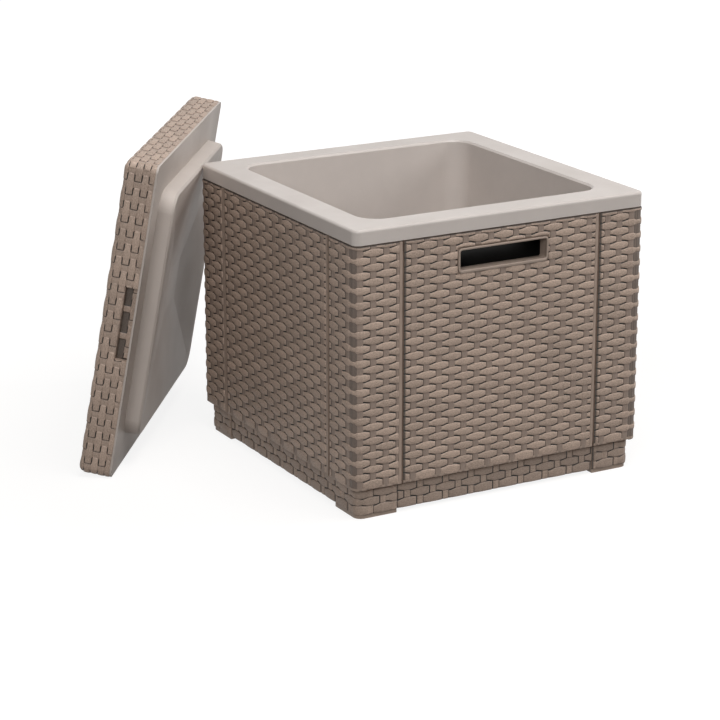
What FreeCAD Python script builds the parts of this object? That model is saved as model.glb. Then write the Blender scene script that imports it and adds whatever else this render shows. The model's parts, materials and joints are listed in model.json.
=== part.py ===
import FreeCAD
import Part
import Sketcher
import math
import os

# A patio cooler table: a square box of moulded resin wicker round an open cooling tub, and a
# lift-off lid that turns the closed box into a side table. At rest the lid stands on the floor and
# leans against the back left corner of the tub's rim. Millimetres, +Z up, front towards -Y, with
# the origin on the floor under the middle of the box.

doc = FreeCAD.newDocument("CoolerTable")
sheet = doc.addObject("Spreadsheet::Sheet", "Sizes")

sizes = [
    ("side_length", 420, "outer width of the box and of the lid, both ways"),
    ("rim_height", 370, "top of the tub's rim above the floor"),
    ("rim_width", 40, "flat rim round the tub's opening"),
    ("rim_plate", 4, "thickness of the rim's top"),
    ("rim_corner", 9, "radius of the box's upright corners"),
    ("rim_edge", 3.5, "round along the rim's outer top edge"),
    ("skirt_height", 19, "depth of the rim's turned down skirt"),
    ("skirt_wall", 3, "thickness of the skirt"),
    ("skirt_gap", 1.6, "shadow gap between the skirt and the walls"),
    ("opening_corner", 28, "radius of the tub's upright corners inside"),
    ("opening_edge", 2.5, "bevel along the mouth of the tub"),
    ("tub_wall", 3, "thickness of the tub's walls and floor"),
    ("tub_floor_height", 52, "inside floor of the tub above the ground"),
    ("tub_inset", 11, "how far each tub wall leans in from mouth to floor"),
    ("tub_floor_edge", 8, "slope where the tub's walls meet its floor"),
    ("spout_outside", 30, "outside diameter of the drain spout"),
    ("spout_bore", 22, "bore of the drain spout"),
    ("spout_length", 32, "spout below the tub's floor"),
    ("drain_offset", 110, "drain centre behind the middle of the tub"),
    ("panel_wall", 3, "thickness of the wicker walls"),
    ("weave_inset", 1, "woven field behind the plain rails and lips"),
    ("corner_width", 66, "reach of a corner post along each face"),
    ("seam_gap", 3, "open groove between a post and a panel"),
    ("rail_width", 4, "plain rail along the right edge of each section"),
    ("foot_flange", 20, "width of the flange that a wall stands on"),
    ("flange_wall", 3, "thickness of that flange and of the bottom lip"),
    ("ledge_height", 14, "thick band below the skirt"),
    ("tongue_wall", 2.7, "thickness of the edge that runs up inside the skirt"),
    ("slide_wall", 2.4, "thickness of the post's sliding tongue"),
    ("slide_reach", 12, "how far the tongue runs into the panel's channel"),
    ("channel_wall", 2.5, "walls of the panel's channel"),
    ("stiffener_wall", 2, "thickness of the panel's inner ribs"),
    ("stiffener_depth", 8, "depth of the panel's inner ribs"),
    ("stiffener_count", 5, "ribs behind each panel"),
    ("stiffener_pitch", 50, "spacing of those ribs"),
    ("hand_drop", 55, "middle of the handhold below the top of the rim"),
    ("hand_width", 126, "clear width of the handhold"),
    ("hand_opening", 25.5, "clear height of the handhold"),
    ("hand_corner", 3, "radius of the handhold's corners"),
    ("sleeve_wall", 1.4, "wall of the handhold's sleeve"),
    ("sleeve_depth", 14, "depth of the sleeve behind the wall's face"),
    ("bead_width", 2.5, "plain bead round the handhold"),
    ("bead_proud", 1, "how far the bead stands out of the wall"),
    ("lug_length", 12, "snap lug behind the wall"),
    ("lug_height", 1.6, "how far the snap lug catches"),
    ("plinth_height", 40, "underside of the walls above the floor"),
    ("plinth_inset", 9, "plinth behind the walls"),
    ("plinth_wall", 3, "thickness of the plinth's skirt and plate"),
    ("foot_drop", 5, "feet below the plinth"),
    ("foot_size", 56, "length of a foot along each face"),
    ("foot_proud", 1.5, "feet in front of the plinth"),
    ("base_rib_count", 5, "stiffening ribs under the base plate, each way"),
    ("base_rib_pitch", 66.4, "spacing of those ribs"),
    ("base_rib_depth", 16, "depth of those ribs"),
    ("base_rib_wall", 2, "thickness of those ribs"),
    ("seat_margin", 6, "ring under the tub inside the flat of its floor"),
    ("boss_place", 26, "screw boss from both faces of a corner"),
    ("boss_outside", 12, "width of the square screw boss"),
    ("boss_height", 60, "height of the screw boss"),
    ("screw_thread", 4, "diameter of the base screws"),
    ("screw_length", 28, "length of the base screws under the head"),
    ("screw_head", 10, "width of the hexagon screw heads across corners"),
    ("screw_head_height", 3, "height of the screw heads"),
    ("screw_tip_room", 5, "hole in the boss past the screw's tip"),
    ("stopper_head", 36, "diameter of the drain stopper's head"),
    ("stopper_head_height", 4, "thickness of the stopper's head"),
    ("stopper_length", 16, "stopper's plug below its head"),
    ("stopper_tab_width", 24, "width of the stopper's pull tab"),
    ("stopper_tab_height", 15, "height of the stopper's pull tab"),
    ("stopper_tab_wall", 4, "thickness of the pull tab"),
    ("seal_thickness", 2, "thickness of the stopper's flat seal"),
    ("seal_outside", 33, "outside diameter of the flat seal"),
    ("lid_thickness", 42, "lid from its flange to its top"),
    ("lid_wall", 3, "thickness of the lid's wicker shell"),
    ("lid_edge", 7, "round along the lid's top edge"),
    ("lid_rib_count", 3, "ribs under the lid's top, each way"),
    ("lid_rib_pitch", 105, "spacing of those ribs"),
    ("lid_rib_depth", 10, "depth of those ribs"),
    ("lid_rib_wall", 2, "thickness of those ribs"),
    ("liner_wall", 2.5, "thickness of the lid's grey liner"),
    ("plug_depth", 20, "how far the liner's plug drops into the tub"),
    ("plug_clearance", 2.5, "gap between the plug and the tub's mouth"),
    ("plug_draft", 1.5, "how much each plug side leans in"),
    ("plug_edge", 2.5, "bevel round the plug's lower edge"),
    ("dish_lip", 10, "flat lip round the dished underside"),
    ("dish_depth", 14, "depth of the dished underside"),
    ("dish_floor", 58, "flat middle of the dish"),
    ("notch_length", 98, "finger notch along the lid's edge"),
    ("notch_height", 16, "height of the finger notch"),
    ("notch_depth", 9, "depth of the finger notch"),
    ("hook_length", 20, "snap hook of the liner"),
    ("hook_height", 12, "height of the snap hook"),
    ("hook_wall", 2.2, "thickness of the snap hook"),
    ("hook_place", 95, "snap hooks each side of the middle"),
    ("clearance", 0.3, "running or seating gap between pieces"),
    ("lean_angle", 10.14, "lean of the lid from upright, in degrees"),
    ("lean_turn", 36.94, "turn of the leaning lid about the upright, in degrees"),
    ("lean_along", 219, "rim's corner from the lid's near edge"),
]
for row, (alias, number, meaning) in enumerate(sizes, start=1):
    sheet.set("A%d" % row, meaning)
    sheet.set("B%d" % row, str(number))
    sheet.setAlias("B%d" % row, alias)
doc.recompute()


class Size:
    """A length with its number and the sheet expression that gives it, so that both agree."""

    def __init__(self, number, text):
        self.number = number
        self.text = text

    def __add__(self, other):
        other = as_size(other)
        return Size(self.number + other.number, "(%s + %s)" % (self.text, other.text))

    def __sub__(self, other):
        other = as_size(other)
        return Size(self.number - other.number, "(%s - %s)" % (self.text, other.text))

    def __mul__(self, factor):
        factor = as_size(factor)
        return Size(self.number * factor.number, "(%s * %s)" % (self.text, factor.text))

    def __truediv__(self, factor):
        factor = as_size(factor)
        return Size(self.number / factor.number, "(%s / %s)" % (self.text, factor.text))

    def __neg__(self):
        return Size(-self.number, "(0 - %s)" % self.text)


def as_size(thing):
    """A plain number as a Size."""
    if isinstance(thing, Size):
        return thing
    return Size(float(thing), repr(float(thing)))


def cell(alias):
    """The sheet's value under an alias."""
    return Size(float(sheet.get(alias)), "Sizes." + alias)


least_cut = 1.0
same_place = 0.01
settle_steps = 6
zero = as_size(0)
half = cell("side_length") / 2
rim_under = cell("rim_height") - cell("rim_plate")
skirt_bottom = cell("rim_height") - cell("skirt_height")
wall_top = skirt_bottom - cell("skirt_gap")
ledge_bottom = wall_top - cell("ledge_height")
flange_top = cell("plinth_height") + cell("flange_wall")
tongue_outer = cell("skirt_wall") + cell("clearance")
tongue_inner = tongue_outer + cell("tongue_wall")
slide_outer = cell("panel_wall") + cell("clearance")
slide_inner = slide_outer + cell("slide_wall")
slide_bottom = flange_top + cell("clearance")
slide_top = ledge_bottom - cell("clearance")
hand_middle = cell("rim_height") - cell("hand_drop")
mouth_half = half - cell("rim_width")
floor_half = mouth_half - cell("tub_inset")
plinth_half = half - cell("plinth_inset")
plate_bottom = cell("plinth_height") - cell("plinth_wall")


def plane_of(body, role):
    """One of the body's own origin planes."""
    for feature in body.Origin.OriginFeatures:
        if feature.Role == role:
            return feature
    raise RuntimeError("no plane " + role)


def new_body(name):
    """An empty body with its own label."""
    body = doc.addObject("PartDesign::Body", name)
    body.Label = name
    return body


def new_sketch(body, name, role, right=zero, up=zero, out=zero):
    """A sketch on an origin plane, moved right, up and out of that plane."""
    sketch = body.newObject("Sketcher::SketchObject", body.Name + name)
    sketch.AttachmentSupport = [(plane_of(body, role), "")]
    sketch.MapMode = "FlatFace"
    sketch.setExpression("AttachmentOffset.Base.x", right.text)
    sketch.setExpression("AttachmentOffset.Base.y", up.text)
    sketch.setExpression("AttachmentOffset.Base.z", out.text)
    return sketch


def tie(sketch, kind, geometry, point, distance):
    """Holds a point at a distance from the sketch's origin along one axis."""
    constraint = Sketcher.Constraint(kind, -1, 1, geometry, point, distance.number)
    index = sketch.addConstraint(constraint)
    sketch.setExpression("Constraints[%d]" % index, distance.text)


def tie_radius(sketch, geometry, radius):
    """Holds the radius of an arc or circle."""
    index = sketch.addConstraint(Sketcher.Constraint("Radius", geometry, radius.number))
    sketch.setExpression("Constraints[%d]" % index, radius.text)


def outline(sketch, corners):
    """Closed outline, anticlockwise. A corner is (x, y), or (x, y, radius) where square edges meet."""
    count = len(corners)
    places = [FreeCAD.Vector(corner[0].number, corner[1].number, 0) for corner in corners]
    radii = [corner[2] if len(corner) == 3 else None for corner in corners]
    ways = []
    for index in range(count):
        way = places[(index + 1) % count] - places[index]
        ways.append(way.normalize())
    lines = []
    for index in range(count):
        start = FreeCAD.Vector(places[index])
        end = FreeCAD.Vector(places[(index + 1) % count])
        if radii[index]:
            start = start + ways[index] * radii[index].number
        if radii[(index + 1) % count]:
            end = end - ways[index] * radii[(index + 1) % count].number
        lines.append(sketch.addGeometry(Part.LineSegment(start, end), False))
    for index in range(count):
        before = ways[index - 1]
        after = ways[index]
        line_in = lines[index - 1]
        line_out = lines[index]
        x, y = corners[index][0], corners[index][1]
        radius = radii[index]
        if radius is None:
            sketch.addConstraint(Sketcher.Constraint("Coincident", line_in, 2, line_out, 1))
            tie(sketch, "DistanceX", line_out, 1, x)
            tie(sketch, "DistanceY", line_out, 1, y)
            continue
        inward = after - before
        centre = places[index] + inward * radius.number
        left_turn = before.cross(after).z > 0
        start = places[index] - before * radius.number - centre
        end = places[index] + after * radius.number - centre
        if not left_turn:
            start, end = end, start
        circle = Part.Circle(centre, FreeCAD.Vector(0, 0, 1), radius.number)
        first_angle = math.atan2(start.y, start.x)
        last_angle = math.atan2(end.y, end.x)
        arc = sketch.addGeometry(Part.ArcOfCircle(circle, first_angle, last_angle), False)
        start_point, end_point = (1, 2) if left_turn else (2, 1)
        sketch.addConstraint(Sketcher.Constraint("Tangent", line_in, 2, arc, start_point))
        sketch.addConstraint(Sketcher.Constraint("Tangent", line_out, 1, arc, end_point))
        tie_radius(sketch, arc, radius)
        tie(sketch, "DistanceX", arc, 3, x + radius * round(inward.x))
        tie(sketch, "DistanceY", arc, 3, y + radius * round(inward.y))


def block(left, low, right, high):
    """Corners of a plain rectangle."""
    return [(left, low), (right, low), (right, high), (left, high)]


def rounded(half_width, half_height, radius):
    """Corners of a rounded rectangle about the sketch's origin."""
    return [(-half_width, -half_height, radius), (half_width, -half_height, radius),
            (half_width, half_height, radius), (-half_width, half_height, radius)]


def circle(sketch, x, y, radius):
    """A full circle tied to the sketch's origin."""
    centre = FreeCAD.Vector(x.number, y.number, 0)
    ring = sketch.addGeometry(Part.Circle(centre, FreeCAD.Vector(0, 0, 1), radius.number), False)
    tie_radius(sketch, ring, radius)
    tie(sketch, "DistanceX", ring, 3, x)
    tie(sketch, "DistanceY", ring, 3, y)


def pad(body, name, sketch, length, reverse=False):
    """Material out of a sketch, along its normal unless reversed."""
    feature = body.newObject("PartDesign::Pad", body.Name + name)
    feature.Profile = sketch
    feature.setExpression("Length", length.text)
    feature.Reversed = reverse
    sketch.Visibility = False
    return feature


def cut(body, name, sketch, length, reverse=False):
    """A pocket against the sketch's normal unless reversed; it must take material away."""
    doc.recompute()
    before = body.Shape.Volume
    feature = body.newObject("PartDesign::Pocket", body.Name + name)
    feature.Profile = sketch
    feature.setExpression("Length", length.text)
    feature.Reversed = reverse
    sketch.Visibility = False
    doc.recompute()
    if body.Shape.Volume > before - least_cut:
        raise RuntimeError("nothing was cut by " + feature.Name)
    return feature


def frustum(body, name, kind, level, height, base_half, top_half):
    """A flat topped pyramid on a square base, added to a body or taken from it."""
    feature = body.newObject("PartDesign::" + kind, body.Name + name)
    feature.AttachmentSupport = [(plane_of(body, "XZ_Plane"), "")]
    feature.MapMode = "FlatFace"
    feature.setExpression("AttachmentOffset.Base.y", level.text)
    feature.setExpression("Ymin", "0")
    feature.setExpression("Ymax", height.text)
    for axis in ("X", "Z"):
        feature.setExpression(axis + "min", (-base_half).text)
        feature.setExpression(axis + "max", base_half.text)
        feature.setExpression(axis + "2min", (-top_half).text)
        feature.setExpression(axis + "2max", top_half.text)
    doc.recompute()
    return feature


def level_edges(shape, height, inside=None, outside=None):
    """Names of the edges that lie level at a height, between two half widths of a square."""
    names = []
    for index, edge in enumerate(shape.Edges, start=1):
        box = edge.BoundBox
        if abs(box.ZMin - height) > same_place or abs(box.ZMax - height) > same_place:
            continue
        reach = max(abs(box.XMin), abs(box.XMax), abs(box.YMin), abs(box.YMax))
        if inside is not None and reach < inside:
            continue
        if outside is not None and reach > outside:
            continue
        names.append("Edge%d" % index)
    return names


def fillet(body, name, edges, radius):
    """Rounds the named edges of the body's last feature."""
    base = body.Tip
    feature = body.newObject("PartDesign::Fillet", body.Name + name)
    feature.Base = (base, edges)
    feature.setExpression("Radius", radius.text)
    doc.recompute()
    return feature


def bevel(body, name, edges, size):
    """Bevels the named edges of the body's last feature."""
    base = body.Tip
    feature = body.newObject("PartDesign::Chamfer", body.Name + name)
    feature.Base = (base, edges)
    feature.setExpression("Size", size.text)
    doc.recompute()
    return feature


def pattern(body, name, originals, direction, length, count):
    """Copies features evenly along an axis of their sketch."""
    feature = body.newObject("PartDesign::LinearPattern", body.Name + name)
    feature.Originals = originals
    feature.Direction = direction
    feature.setExpression("Length", length.text)
    feature.setExpression("Occurrences", count.text)
    body.Tip = feature
    doc.recompute()
    return feature


def turned(body, degrees):
    """Turns a body about the upright axis through the middle of the box."""
    body.Placement = FreeCAD.Placement(FreeCAD.Vector(0, 0, 0),
                                       FreeCAD.Rotation(FreeCAD.Vector(0, 0, 1), degrees))


# The tub is one deep moulding. Its walls lean in towards the floor, its hidden outer corners are
# flat, its rim turns down into a skirt that covers the top of the walls, and a spout drains it.
def make_tub():
    body = new_body("tub")
    outside = mouth_half + cell("tub_wall")
    base_height = cell("tub_floor_height") - cell("tub_wall")
    depth = cell("rim_height") - base_height
    draft = "atan((0 - %s) / %s)" % (cell("tub_inset").text, depth.text)
    mouth = new_sketch(body, "Outside", "XY_Plane", out=cell("rim_height"))
    flat = outside - (cell("opening_corner") + cell("tub_wall")) * (2 - math.sqrt(2))
    outline(mouth, [(-flat, -outside), (flat, -outside), (outside, -flat), (outside, flat),
                    (flat, outside), (-flat, outside), (-outside, flat), (-outside, -flat)])
    bucket = pad(body, "Bucket", mouth, depth, reverse=True)
    bucket.setExpression("TaperAngle", draft)
    doc.recompute()
    rim = new_sketch(body, "Rim", "XY_Plane", out=rim_under)
    outline(rim, rounded(half, half, cell("rim_corner")))
    pad(body, "RimPlate", rim, cell("rim_plate"))
    skirt = new_sketch(body, "Skirt", "XY_Plane", out=skirt_bottom)
    skirt_half = half - cell("skirt_wall")
    outline(skirt, rounded(half, half, cell("rim_corner")))
    outline(skirt, rounded(skirt_half, skirt_half, cell("rim_corner") - cell("skirt_wall")))
    pad(body, "SkirtWall", skirt, cell("skirt_height"))
    inside = new_sketch(body, "Inside", "XY_Plane", out=cell("rim_height"))
    outline(inside, rounded(mouth_half, mouth_half, cell("opening_corner")))
    cavity = cut(body, "Cavity", inside, cell("rim_height") - cell("tub_floor_height"))
    cavity.setExpression("TaperAngle", draft)
    doc.recompute()
    floor_edges = level_edges(body.Shape, cell("tub_floor_height").number)
    bevel(body, "FloorBevel", floor_edges, cell("tub_floor_edge"))
    mouth_edges = level_edges(body.Shape, cell("rim_height").number,
                              outside=(mouth_half + cell("tub_wall")).number)
    bevel(body, "MouthBevel", mouth_edges, cell("opening_edge"))
    rim_edges = level_edges(body.Shape, cell("rim_height").number,
                            inside=(half - cell("rim_edge")).number)
    fillet(body, "RimRound", rim_edges, cell("rim_edge"))
    spout = new_sketch(body, "Spout", "XY_Plane", out=cell("tub_floor_height") - cell("tub_wall") / 2)
    circle(spout, zero, cell("drain_offset"), cell("spout_outside") / 2)
    pad(body, "SpoutTube", spout, cell("spout_length") + cell("tub_wall") / 2, reverse=True)
    bore = new_sketch(body, "Bore", "XY_Plane", out=cell("tub_floor_height") + cell("tub_wall"))
    circle(bore, zero, cell("drain_offset"), cell("spout_bore") / 2)
    cut(body, "SpoutBore", bore, cell("spout_length") + cell("tub_wall") * 3)
    return body


# A corner post is an angle of wicker wall with a rounded corner. It stands on an inner flange,
# its top edge runs up inside the rim's skirt, a tongue at each end slides into the panel beside
# it, and a boss inside takes a screw from below.
def angle(reach, outer, inner, outer_round, inner_round):
    """Corners of an angle at the front left, between two insets from the box's faces."""
    far = -half + reach
    near_out = -half + outer
    near_in = -half + inner
    inside = (near_in, near_in, inner_round) if inner_round else (near_in, near_in)
    return [(near_out, near_out, outer_round), (far, near_out), (far, near_in), inside,
            (near_in, far), (near_out, far)]


def make_corner_post(name, degrees):
    body = new_body(name)
    reach = cell("corner_width")
    corner = cell("rim_corner")
    inset = cell("weave_inset")
    wall = cell("panel_wall")
    skin = new_sketch(body, "Skin", "XY_Plane", out=cell("plinth_height"))
    outline(skin, angle(reach, inset, wall, corner - inset, corner - wall))
    pad(body, "SkinWall", skin, wall_top - cell("plinth_height"))
    flange = new_sketch(body, "Flange", "XY_Plane", out=cell("plinth_height"))
    outline(flange, angle(reach, zero, cell("foot_flange"), corner, None))
    pad(body, "FlangePlate", flange, cell("flange_wall"))
    ledge = new_sketch(body, "Ledge", "XY_Plane", out=ledge_bottom)
    outline(ledge, angle(reach, wall - inset / 2, tongue_inner, corner - wall + inset / 2,
                         corner - tongue_inner))
    pad(body, "LedgeBand", ledge, cell("ledge_height"))
    tongue = new_sketch(body, "Tongue", "XY_Plane", out=ledge_bottom)
    outline(tongue, angle(reach, tongue_outer, tongue_inner, corner - tongue_outer,
                          corner - tongue_inner))
    pad(body, "TongueWall", tongue, rim_under - ledge_bottom)
    rail = new_sketch(body, "Rail", "XY_Plane", out=cell("plinth_height"))
    outline(rail, block(-half + reach - cell("rail_width"), -half, -half + reach, -half + wall))
    pad(body, "RailWall", rail, wall_top - cell("plinth_height"))
    end = -half + reach
    tip = end + cell("seam_gap") + cell("slide_reach") - cell("clearance")
    root = end - cell("slide_reach") / 2
    slides = new_sketch(body, "Slides", "XY_Plane", out=slide_bottom)
    outline(slides, [(root, -half + wall - inset / 2), (end, -half + wall - inset / 2),
                     (end, -half + slide_outer), (tip, -half + slide_outer),
                     (tip, -half + slide_inner), (root, -half + slide_inner)])
    outline(slides, [(-half + wall - inset / 2, root), (-half + slide_inner, root),
                     (-half + slide_inner, tip), (-half + slide_outer, tip),
                     (-half + slide_outer, end), (-half + wall - inset / 2, end)])
    pad(body, "SlideTongues", slides, slide_top - slide_bottom)
    place = -half + cell("boss_place")
    boss_half = cell("boss_outside") / 2
    boss = new_sketch(body, "Boss", "XY_Plane", out=cell("plinth_height"))
    outline(boss, block(place - boss_half, place - boss_half, place + boss_half, place + boss_half))
    pad(body, "BossBlock", boss, cell("boss_height"))
    web = cell("stiffener_wall") / 2
    webs = new_sketch(body, "Webs", "XY_Plane", out=cell("plinth_height"))
    outline(webs, block(-half + wall - inset / 2, place - web, place, place + web))
    pad(body, "SideWeb", webs, cell("boss_height"))
    front_web = new_sketch(body, "FrontWeb", "XY_Plane", out=cell("plinth_height"))
    outline(front_web, block(place - web, -half + wall - inset / 2, place + web, place))
    pad(body, "FrontWebWall", front_web, cell("boss_height"))
    hole = new_sketch(body, "Hole", "XY_Plane", out=cell("plinth_height"))
    circle(hole, place, place, cell("screw_thread") / 2 + cell("clearance") / 2)
    depth = cell("screw_length") - cell("plinth_wall") + cell("screw_tip_room")
    cut(body, "ScrewHole", hole, depth, reverse=True)
    turned(body, degrees)
    return body


# A panel is the flat wicker wall between two posts. Its section is carried straight across, with
# a channel at each end for the post's tongue and upright ribs behind. The front and back panels
# are cut for a handhold.
def make_panel(name, degrees, with_handhold):
    body = new_body(name)
    wall = cell("panel_wall")
    inset = cell("weave_inset")
    edge = half - cell("corner_width") - cell("seam_gap")
    section = new_sketch(body, "Section", "YZ_Plane", out=-edge)
    outline(section, [(-half, cell("plinth_height")),
                      (-half + cell("foot_flange"), cell("plinth_height")),
                      (-half + cell("foot_flange"), flange_top),
                      (-half + wall, flange_top),
                      (-half + wall, ledge_bottom),
                      (-half + tongue_inner, ledge_bottom + cell("tongue_wall")),
                      (-half + tongue_inner, rim_under),
                      (-half + tongue_outer, rim_under),
                      (-half + tongue_outer, wall_top),
                      (-half + inset, wall_top),
                      (-half + inset, flange_top),
                      (-half, flange_top)])
    pad(body, "Wall", section, edge * 2)
    rail = new_sketch(body, "Rail", "XY_Plane", out=cell("plinth_height"))
    outline(rail, block(edge - cell("rail_width"), -half, edge, -half + wall))
    pad(body, "RailWall", rail, wall_top - cell("plinth_height"))
    channel_outer = -half + slide_inner + cell("clearance")
    channel_inner = channel_outer + cell("channel_wall")
    web_start = edge - cell("slide_reach")
    web_end = web_start - cell("channel_wall")
    channels = new_sketch(body, "Channels", "XY_Plane", out=flange_top)
    outline(channels, [(web_end, -half + wall - inset), (web_start, -half + wall - inset),
                       (web_start, channel_outer), (edge, channel_outer), (edge, channel_inner),
                       (web_end, channel_inner)])
    outline(channels, [(-web_start, -half + wall - inset), (-web_end, -half + wall - inset),
                       (-web_end, channel_inner), (-edge, channel_inner), (-edge, channel_outer),
                       (-web_start, channel_outer)])
    pad(body, "ChannelWalls", channels, ledge_bottom - flange_top)
    count = cell("stiffener_count")
    span = cell("stiffener_pitch") * (count - 1)
    rib_top = hand_middle - cell("hand_opening") - cell("hand_opening") / 2
    rib = new_sketch(body, "Rib", "XY_Plane", out=flange_top)
    left = -span / 2 - cell("stiffener_wall") / 2
    outline(rib, block(left, -half + wall - inset, left + cell("stiffener_wall"),
                       -half + wall + cell("stiffener_depth")))
    ribs = pad(body, "RibWall", rib, rib_top - flange_top)
    doc.recompute()
    pattern(body, "Ribs", [ribs], (rib, ["H_Axis"]), span, count)
    if with_handhold:
        hole_width = cell("hand_width") / 2 + cell("sleeve_wall") + cell("clearance")
        hole_height = cell("hand_opening") / 2 + cell("sleeve_wall") + cell("clearance")
        hole_round = cell("hand_corner") + cell("sleeve_wall") + cell("clearance")
        hand_back = half - wall * 2
        hand_front = half + wall
        hand = new_sketch(body, "Hand", "XZ_Plane", up=hand_middle, out=hand_back)
        outline(hand, rounded(hole_width, hole_height, hole_round))
        cut(body, "HandCut", hand, hand_front - hand_back, reverse=True)
    turned(body, degrees)
    return body


# The handhold's frame is a smooth moulded sleeve that is pushed into the panel from outside. A
# bead covers the cut ends of the weave, and four lugs snap in behind the wall.
def make_handle_frame(name, degrees):
    body = new_body(name)
    wall = cell("sleeve_wall")
    inner_width = cell("hand_width") / 2
    inner_height = cell("hand_opening") / 2
    corner = cell("hand_corner")
    front = half + cell("bead_proud")
    bead = new_sketch(body, "Bead", "XZ_Plane", up=hand_middle, out=front)
    outline(bead, rounded(inner_width + cell("bead_width"), inner_height + cell("bead_width"),
                          corner + cell("bead_width")))
    pad(body, "BeadPlate", bead, cell("bead_proud") + cell("weave_inset"), reverse=True)
    sleeve = new_sketch(body, "Sleeve", "XZ_Plane", up=hand_middle, out=front)
    outline(sleeve, rounded(inner_width + wall, inner_height + wall, corner + wall))
    pad(body, "SleeveTube", sleeve, cell("sleeve_depth") + cell("bead_proud"), reverse=True)
    lug_plane = half - cell("panel_wall") - cell("clearance")
    lugs = new_sketch(body, "Lugs", "XZ_Plane", up=hand_middle, out=lug_plane)
    catch = inner_height + wall + cell("clearance") + cell("lug_height")
    for middle in (-inner_width / 2, inner_width / 2):
        outline(lugs, block(middle - cell("lug_length") / 2, -catch,
                            middle + cell("lug_length") / 2, catch))
    pad(body, "SnapLugs", lugs, cell("sleeve_wall"), reverse=True)
    opening = new_sketch(body, "Opening", "XZ_Plane", up=hand_middle, out=front)
    outline(opening, rounded(inner_width, inner_height, corner))
    cut(body, "OpeningCut", opening, cell("sleeve_depth") + cell("bead_proud") * 2)
    turned(body, degrees)
    return body


# The base tray closes the bottom: a plate that the walls stand on, a set-back plinth round it,
# a foot at each corner and a grid of ribs underneath, all open from below.
def make_base_tray():
    body = new_body("base_tray")
    wall = cell("plinth_wall")
    corner = cell("rim_corner")
    plate = new_sketch(body, "Plate", "XY_Plane", out=plate_bottom)
    outline(plate, rounded(plinth_half, plinth_half, corner))
    pad(body, "PlateSheet", plate, wall)
    plinth = new_sketch(body, "Plinth", "XY_Plane", out=cell("foot_drop"))
    outline(plinth, rounded(plinth_half, plinth_half, corner))
    outline(plinth, rounded(plinth_half - wall, plinth_half - wall, corner - wall))
    pad(body, "PlinthSkirt", plinth, cell("plinth_height") - cell("foot_drop"))
    span = cell("base_rib_pitch") * (cell("base_rib_count") - 1)
    rib_half = cell("base_rib_wall") / 2
    rib_out = plinth_half - wall / 2
    for name, axis in (("Across", "V_Axis"), ("Along", "H_Axis")):
        rib = new_sketch(body, "Rib" + name, "XY_Plane", out=plate_bottom - cell("base_rib_depth"))
        if axis == "V_Axis":
            outline(rib, block(-rib_out, -span / 2 - rib_half, rib_out, -span / 2 + rib_half))
        else:
            outline(rib, block(-span / 2 - rib_half, -rib_out, -span / 2 + rib_half, rib_out))
        wall_rib = pad(body, "RibWall" + name, rib, cell("base_rib_depth") + wall / 2)
        doc.recompute()
        pattern(body, "Ribs" + name, [wall_rib], (rib, [axis]), span, cell("base_rib_count"))
    foot_out = -plinth_half - cell("foot_proud")
    foot_in = foot_out + cell("foot_size")
    foot_round = corner + cell("foot_proud")
    foot_wall = wall + cell("foot_proud")
    foot = new_sketch(body, "Foot", "XY_Plane")
    outline(foot, [(foot_out, foot_out, foot_round), (foot_in, foot_out), (foot_in, foot_in),
                   (foot_out, foot_in)])
    foot_pad = pad(body, "FootBlock", foot, plate_bottom)
    well = new_sketch(body, "Well", "XY_Plane")
    outline(well, [(foot_out + foot_wall, foot_out + foot_wall, foot_round - foot_wall),
                   (foot_in - foot_wall, foot_out + foot_wall),
                   (foot_in - foot_wall, foot_in - foot_wall),
                   (foot_out + foot_wall, foot_in - foot_wall)])
    foot_well = cut(body, "FootWell", well, plate_bottom, reverse=True)
    place = -half + cell("boss_place")
    hole = new_sketch(body, "Hole", "XY_Plane")
    circle(hole, place, place, cell("screw_thread") / 2 + cell("clearance"))
    screw_hole = cut(body, "ScrewHole", hole, cell("plinth_height") + wall, reverse=True)
    feet = body.newObject("PartDesign::PolarPattern", "base_trayFeet")
    feet.Originals = [foot_pad, foot_well, screw_hole]
    feet.Axis = (foot, ["N_Axis"])
    feet.Angle = 360
    feet.Occurrences = 4
    body.Tip = feet
    doc.recompute()
    seat_height = cell("tub_floor_height") - cell("tub_wall") - cell("plinth_height")
    seat_half = floor_half - cell("tub_floor_edge") - cell("seat_margin")
    seat = new_sketch(body, "Seat", "XY_Plane", out=cell("plinth_height"))
    seat_inner = seat_half - wall
    outline(seat, block(-seat_half, -seat_half, seat_half, seat_half))
    outline(seat, block(-seat_inner, -seat_inner, seat_inner, seat_inner))
    pad(body, "SeatRing", seat, seat_height)
    drain = new_sketch(body, "Drain", "XY_Plane", out=cell("plinth_height"))
    circle(drain, zero, cell("drain_offset"), cell("spout_outside") / 2 + cell("clearance"))
    cut(body, "DrainHole", drain, cell("plinth_height"))
    return body


# Four screws hold the base tray to the bosses of the posts. Identical fasteners are one node.
def make_base_screws():
    place = half - cell("boss_place")
    parts = []
    for number, (side, back) in enumerate(((-1, -1), (1, -1), (1, 1), (-1, 1)), start=1):
        shank = doc.addObject("Part::Cylinder", "ScrewShank%d" % number)
        shank.setExpression("Radius", (cell("screw_thread") / 2).text)
        shank.setExpression("Height", cell("screw_length").text)
        head = doc.addObject("Part::Prism", "ScrewHead%d" % number)
        head.Polygon = 6
        head.setExpression("Circumradius", (cell("screw_head") / 2).text)
        head.setExpression("Height", cell("screw_head_height").text)
        for piece, level in ((shank, plate_bottom), (head, plate_bottom - cell("screw_head_height"))):
            piece.setExpression("Placement.Base.x", (place * side).text)
            piece.setExpression("Placement.Base.y", (place * back).text)
            piece.setExpression("Placement.Base.z", level.text)
        screw = doc.addObject("Part::Fuse", "Screw%d" % number)
        screw.Base = shank
        screw.Tool = head
        parts.append(screw)
    group = doc.addObject("Part::Compound", "base_screws")
    group.Label = "base_screws"
    group.Links = parts
    return group


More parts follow.
